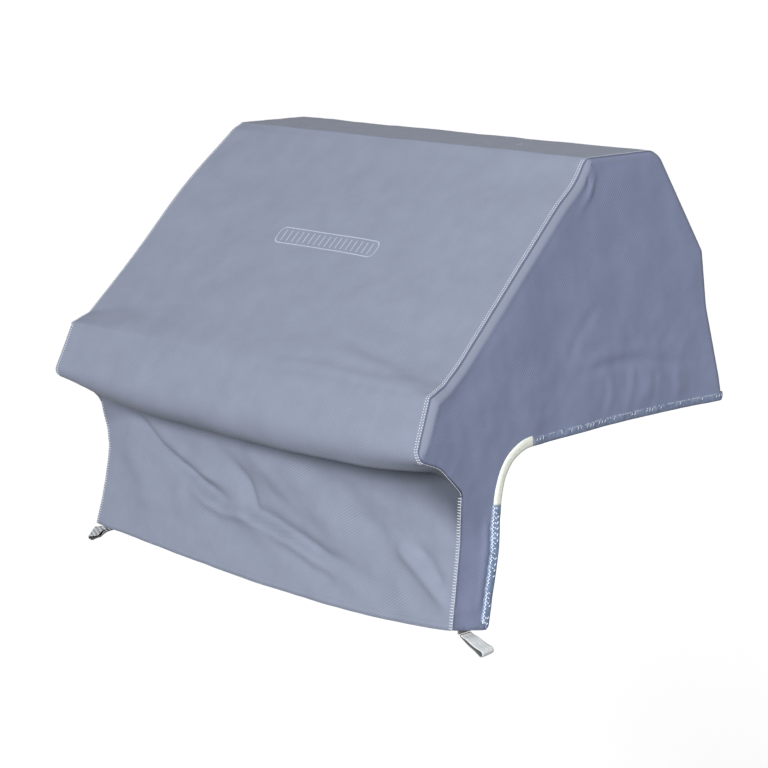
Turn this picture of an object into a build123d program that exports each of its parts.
"""Fabric cover for a built-in grill head: hood, control-panel bulge and hanging front apron.

Millimetres. +X is the grill's right as seen from the back, -Y is its front, +Z is up.
The origin is the middle of the flat underside of the top, which rests on the grill's hood.
"""

from build123d import *
import os

# ---- driving dimensions -------------------------------------------------------------------
CLOTH = 2.0              # thickness that stands for the coated cloth and its slack
BINDING = 1.0            # thickness of each leaf of a folded hem or binding
TAPE = 1.5               # thickness of the tape that binds the inside of a seam
THREAD = 0.6             # how far stitching stands proud of the cloth
BASE_WIDTH = 700.0       # outside width from the control panel down
TOP_WIDTH = 658.0        # outside width across the top
TAPER_DROP = 315.0       # the sides reach full width this far below the top
TOP_DEPTH = 105.0        # flat top, front edge to where the rear rounds over

HEM_WIDTH = 12.0         # height of the folded hems
SEAM_WIDTH = 12.0        # width of the taped seam allowance
BODY_GAP = 0.6           # half of the slit where the apron is hinged
NOTCH_RADIUS = 58.0      # rounded inner corner between side hem and apron
APRON_SWING_ROOT = 66.0  # how far behind the fold the slit in the side ends

LOOP_WIDTH = 25.0        # webbing of the pull loops
LOOP_LENGTH = 43.0
LOOP_EYE = 11.0          # height of the loop where it is widest
LOOP_WEBBING = 1.5
LOOP_DROOP = 28.0        # degrees below the horizontal at rest
TAIL_HEIGHT = 20.0       # webbing sewn inside the side return
TAIL_GAP = 0.9           # room between the sewn tail and the loop's rounded end

EMBLEM_WIDTH = 188.0
EMBLEM_HEIGHT = 28.0
EMBLEM_LINE = 2.6
EMBLEM_BARS = 17

# ---- side view: (y, z) of the outside of the cover ----------------------------------------
# The top's outer face lies one cloth thickness above the origin.
FRONT_Y = -TOP_DEPTH / 2
TOP_Z = CLOTH
HEM_Z = TOP_Z - 346.0            # rear and side hems, level with the counter

TOP_FRONT = (FRONT_Y, TOP_Z)
TOP_REAR = (FRONT_Y + 138.0, TOP_Z)
SHOULDER = (FRONT_Y + 222.0, TOP_Z - 140.0)
WAIST = (FRONT_Y + 230.0, TOP_Z - 214.0)
REAR_HEM = (FRONT_Y + 262.0, HEM_Z)

SLOPE_FOOT = (FRONT_Y - 272.0, TOP_Z - 249.0)
BROW = (FRONT_Y - 297.0, TOP_Z - 260.0)
NOSE = (FRONT_Y - 330.0, TOP_Z - 327.0)
CREASE = (FRONT_Y - 253.0, TOP_Z - 392.0)
APRON_TOE = (FRONT_Y - 267.0, TOP_Z - 553.0)
RETURN_HEEL = (FRONT_Y - 211.0, TOP_Z - 563.0)
NOTCH_CORNER = (FRONT_Y - 172.0, HEM_Z)

CREASE_RADIUS = 10.0
FAR = 1000.0                     # past everything, for cutting shapes

# The apron swings about a line along the fold under the bulge.
FOLD = (CREASE[0] + 1.5, CREASE[1] - 4.0)
SLIT_END = (FOLD[0] + APRON_SWING_ROOT, FOLD[1] - 44.0)


def beyond(start, end, distance=400.0):
    """The point that continues the line from start to end by a distance."""
    a, b = Vector(*start), Vector(*end)
    return tuple(b + (b - a).normalized() * distance)[:2]


def side_outline(inset):
    """The side view, moved in by inset, with front and back carried on far past their hems."""
    corners = [
        (beyond(CREASE, APRON_TOE), 0),
        (CREASE, CREASE_RADIUS),
        (NOSE, 14),
        (BROW, 8),
        (SLOPE_FOOT, 15),
        (TOP_FRONT, 6),
        (TOP_REAR, 35),
        (SHOULDER, 30),
        (WAIST, 60),
        (beyond(WAIST, REAR_HEM), 0),
    ]
    points = [point for point, _ in corners]
    radii = [radius for _, radius in corners]
    with BuildSketch() as outline:
        with BuildLine():
            FilletPolyline(*points, radius=radii, close=True)
        make_face()
        if inset:
            offset(amount=-inset, kind=Kind.INTERSECTION)
    return outline.sketch


def front_outline(inset):
    """The front view, moved in by inset: upright sides that lean in towards the top."""
    half_top, half_base = TOP_WIDTH / 2 - inset, BASE_WIDTH / 2 - inset
    lean = (half_base - half_top) / TAPER_DROP
    half_above = half_top - lean * 50
    right = [(half_above, TOP_Z + 50), (half_base, TOP_Z - TAPER_DROP), (half_base, -FAR)]
    left = [(-x, z) for x, z in reversed(right)]
    return make_face(Polyline(*right, *left, close=True).edges())


def bulk(inset, side_inset):
    """Everything inside the cover's outer surface, moved in by the two insets."""
    along = extrude(Plane.YZ * side_outline(inset), amount=FAR, both=True)
    across = extrude(Plane.XZ * front_outline(side_inset), amount=FAR, both=True)
    return along & across


def below_hems(margin=0.0):
    """The space under the hems and behind the apron, grown by a margin into the cloth."""
    corner = NOTCH_RADIUS - margin
    with BuildSketch() as area:
        with BuildLine():
            FilletPolyline(
                (FAR, HEM_Z + margin),
                (NOTCH_CORNER[0] - margin * 0.84, HEM_Z + margin),
                (RETURN_HEEL[0] - margin * 1.2, RETURN_HEEL[1] + margin),
                (APRON_TOE[0], APRON_TOE[1] + margin),
                (-FAR, APRON_TOE[1] + margin),
                (-FAR, -FAR),
                (FAR, -FAR),
                radius=[0, corner, 0, 0, 0, 0, 0],
                close=True,
            )
        make_face()
    return extrude(Plane.YZ * area.sketch, amount=FAR, both=True)


def slab(y_range, z_range, x_range=(-FAR, FAR)):
    """A cutting block between two values on each axis."""
    spans = [high - low for low, high in (x_range, y_range, z_range)]
    middle = [(high + low) / 2 for low, high in (x_range, y_range, z_range)]
    return Pos(*middle) * Box(*spans)


def apron_side(shift):
    """Everything on the apron's side of the slit, which runs from the fold out to the notch."""
    fold, end = (FOLD[0], FOLD[1] + shift), (SLIT_END[0], SLIT_END[1] + shift)
    points = [(-FAR, fold[1]), fold, beyond(fold, end, FAR), (FAR, -2 * FAR), (-FAR, -2 * FAR)]
    return extrude(Plane.YZ * make_face(Polyline(*points, close=True).edges()), amount=FAR, both=True)


APRON_SPACE = apron_side(-BODY_GAP)
HOOD_CUT = apron_side(BODY_GAP)


def on_hood(shape):
    return shape - HOOD_CUT


def on_apron(shape):
    return shape & APRON_SPACE


def right_half(shape):
    return shape & slab((-FAR, FAR), (-FAR, FAR), (0, FAR))


def save(name, shape):
    """Write one node, and its mirror image too when the name starts with right_."""
    solids = shape.solids()
    export_step(Compound(children=list(solids)) if len(solids) > 1 else solids[0], f"parts/{name}.step")
    if name.startswith("right_"):
        mirrored = [mirror(solid, Plane.YZ) for solid in solids]
        other = Compound(children=mirrored) if len(mirrored) > 1 else mirrored[0]
        export_step(other, f"parts/left_{name[6:]}.step")


# ---- cloth panels --------------------------------------------------------------------------
def wrap_panels(cut_cloth):
    """One strip of cloth: up the apron, over bulge, hood and top, and down the back."""
    sheet = bulk(0, CLOTH) - bulk(CLOTH, CLOTH) - cut_cloth - seam_tape()
    return on_hood(sheet), on_apron(sheet)


def side_panels(cut_cloth):
    """The right side, sewn to the strip along its whole outline."""
    sheet = right_half(bulk(0, 0) - bulk(0, CLOTH)) - cut_cloth
    return on_hood(sheet), on_apron(sheet)


# ---- seams ---------------------------------------------------------------------------------
def seam_tape():
    """Tape over the seam allowance, let half a millimetre into the strip's inner face."""
    run = bulk(CLOTH - 0.5, CLOTH) - bulk(CLOTH - 0.5 + TAPE, CLOTH)
    both_sides = run - bulk(0, CLOTH + SEAM_WIDTH)
    return both_sides - below_hems(HEM_WIDTH)


def topstitching():
    """Two rows of thread beside each seam, on the outside of the strip."""
    skin = bulk(-THREAD, 0) - bulk(0, 0)
    rows = [skin & (bulk(-THREAD, at) - bulk(-THREAD, at + 1)) for at in (4, 9)]
    return (rows[0] + rows[1]) - below_hems(HEM_WIDTH)


# ---- hems and bindings ---------------------------------------------------------------------
def side_edging():
    """A folded band around the whole lower edge of the right side, both leaves and the fold."""
    leaves = right_half(bulk(0, -BINDING) - bulk(0, CLOTH + BINDING))
    side_cloth = right_half(bulk(0, 0) - bulk(0, CLOTH)) - below_hems(BINDING)
    strip_cloth = bulk(0, CLOTH) - bulk(CLOTH, CLOTH)
    return (leaves & (below_hems(HEM_WIDTH) - below_hems())) - side_cloth - strip_cloth


def strip_hem(y_range):
    """A folded band along the strip's lower edge, between the two sides."""
    leaves = bulk(-BINDING, CLOTH + BINDING) - bulk(CLOTH + BINDING, CLOTH + BINDING)
    cloth = bulk(0, CLOTH) - bulk(CLOTH, CLOTH) - below_hems(BINDING)
    band = leaves & (below_hems(HEM_WIDTH) - below_hems())
    return (band - cloth) & slab(y_range, (-FAR, FAR))


# ---- pull loops ----------------------------------------------------------------------------
LOOP_ROOT = LOOP_WEBBING + 0.2           # radius of the rounded sewn end
LOOP_X = BASE_WIDTH / 2 - CLOTH - LOOP_WEBBING
LOOP_Y = (FRONT_Y - 252.5, FRONT_Y - 252.5 + LOOP_WIDTH)
LOOP_Z = TOP_Z - 565.0


def right_pull_loop():
    """Webbing folded into a drooping loop, with an open eye from front to back."""
    half_eye = LOOP_EYE / 2
    tip = LOOP_LENGTH - half_eye
    with BuildSketch(Plane.XZ) as section:
        Circle(LOOP_ROOT)
        with BuildLine():
            top = Spline((0, LOOP_ROOT), (tip, half_eye), tangents=[(1, 0.05), (1, 0)])
            end = ThreePointArc(top @ 1, (LOOP_LENGTH, 0), (tip, -half_eye))
            low = Spline(end @ 1, (0, -LOOP_ROOT), tangents=[(-1, 0), (-1, 0.05)])
            Line(low @ 1, top @ 0)
        make_face()
        inner = half_eye - LOOP_WEBBING
        with BuildLine():
            top = Spline((6, 0.05), (tip, inner), tangents=[(1, 0.1), (1, 0)])
            end = ThreePointArc(top @ 1, (LOOP_LENGTH - LOOP_WEBBING, 0), (tip, -inner))
            low = Spline(end @ 1, (6, -0.05), tangents=[(-1, 0), (-1, 0.1)])
            Line(low @ 1, top @ 0)
        make_face(mode=Mode.SUBTRACT)
    webbing = extrude(section.sketch, amount=LOOP_WIDTH / 2, both=True)
    middle = sum(LOOP_Y) / 2
    return Pos(LOOP_X, middle, LOOP_Z) * Rot(0, LOOP_DROOP, 0) * webbing


def right_loop_tail():
    """The loop's two webbing ends, sewn flat inside the side return."""
    inside = BASE_WIDTH / 2 - CLOTH - BINDING
    low = LOOP_Z + LOOP_ROOT + TAIL_GAP
    return slab(LOOP_Y, (low, low + TAIL_HEIGHT), (inside - 2 * LOOP_WEBBING, inside))


def right_loop_tack():
    """Bars of thread that hold the tail, worked on its inner face."""
    face = BASE_WIDTH / 2 - CLOTH - BINDING - 2 * LOOP_WEBBING
    low = LOOP_Z + LOOP_ROOT + TAIL_GAP
    y_span = (LOOP_Y[0] + 3, LOOP_Y[1] - 3)
    bars = [
        slab(y_span, (low + rise, low + rise + 1.5), (face - THREAD, face))
        for rise in (7, 16)
    ]
    return bars[0] + bars[1]


# ---- emblem --------------------------------------------------------------------------------
def hood_emblem():
    """Raised thread in a plain grate pattern: a rounded frame with upright bars."""
    across = Vector(1, 0, 0)
    slope = Vector(0, TOP_FRONT[0] - SLOPE_FOOT[0], TOP_FRONT[1] - SLOPE_FOOT[1])
    foot = Vector(0, *SLOPE_FOOT)
    middle = foot + slope * 0.5
    face = Plane(origin=middle, x_dir=across, z_dir=across.cross(slope))
    inner_height = EMBLEM_HEIGHT - 2 * EMBLEM_LINE
    pitch = (EMBLEM_WIDTH - 2 * EMBLEM_LINE) / (EMBLEM_BARS + 1)
    with BuildSketch(face) as grate:
        RectangleRounded(EMBLEM_WIDTH, EMBLEM_HEIGHT, 9)
        RectangleRounded(EMBLEM_WIDTH - 2 * EMBLEM_LINE, inner_height, 6.4, mode=Mode.SUBTRACT)
        with GridLocations(pitch, 1, EMBLEM_BARS, 1):
            SlotOverall(inner_height - 4, EMBLEM_LINE, rotation=90)
    return extrude(grate.sketch, amount=THREAD)


os.makedirs("parts", exist_ok=True)

cut_cloth = below_hems(BINDING)
hood_wrap, apron_panel = wrap_panels(cut_cloth)
side_panel, apron_return = side_panels(cut_cloth)
save("hood_wrap", hood_wrap)
save("apron_panel", apron_panel)
save("right_side_panel", side_panel)
save("right_apron_return", apron_return)

tape = right_half(seam_tape())
save("right_hood_seam_tape", on_hood(tape))
save("right_apron_seam_tape", on_apron(tape))
stitching = right_half(topstitching())
save("right_hood_topstitch", on_hood(stitching))
save("right_apron_topstitch", on_apron(stitching))

edging = side_edging()
hood_edging = on_hood(edging)
notch_start = NOTCH_CORNER[0] + 50
save("right_side_hem", hood_edging & slab((notch_start, FAR), (-FAR, FAR)))
save("right_notch_binding", hood_edging & slab((-FAR, notch_start), (-FAR, FAR)))
save("right_return_hem", on_apron(edging))
save("back_hem", strip_hem((0, FAR)))
save("apron_hem", strip_hem((-FAR, 0)))

save("right_pull_loop", right_pull_loop())
save("right_loop_tail", right_loop_tail())
save("right_loop_tack", right_loop_tack())
save("hood_emblem", hood_emblem())
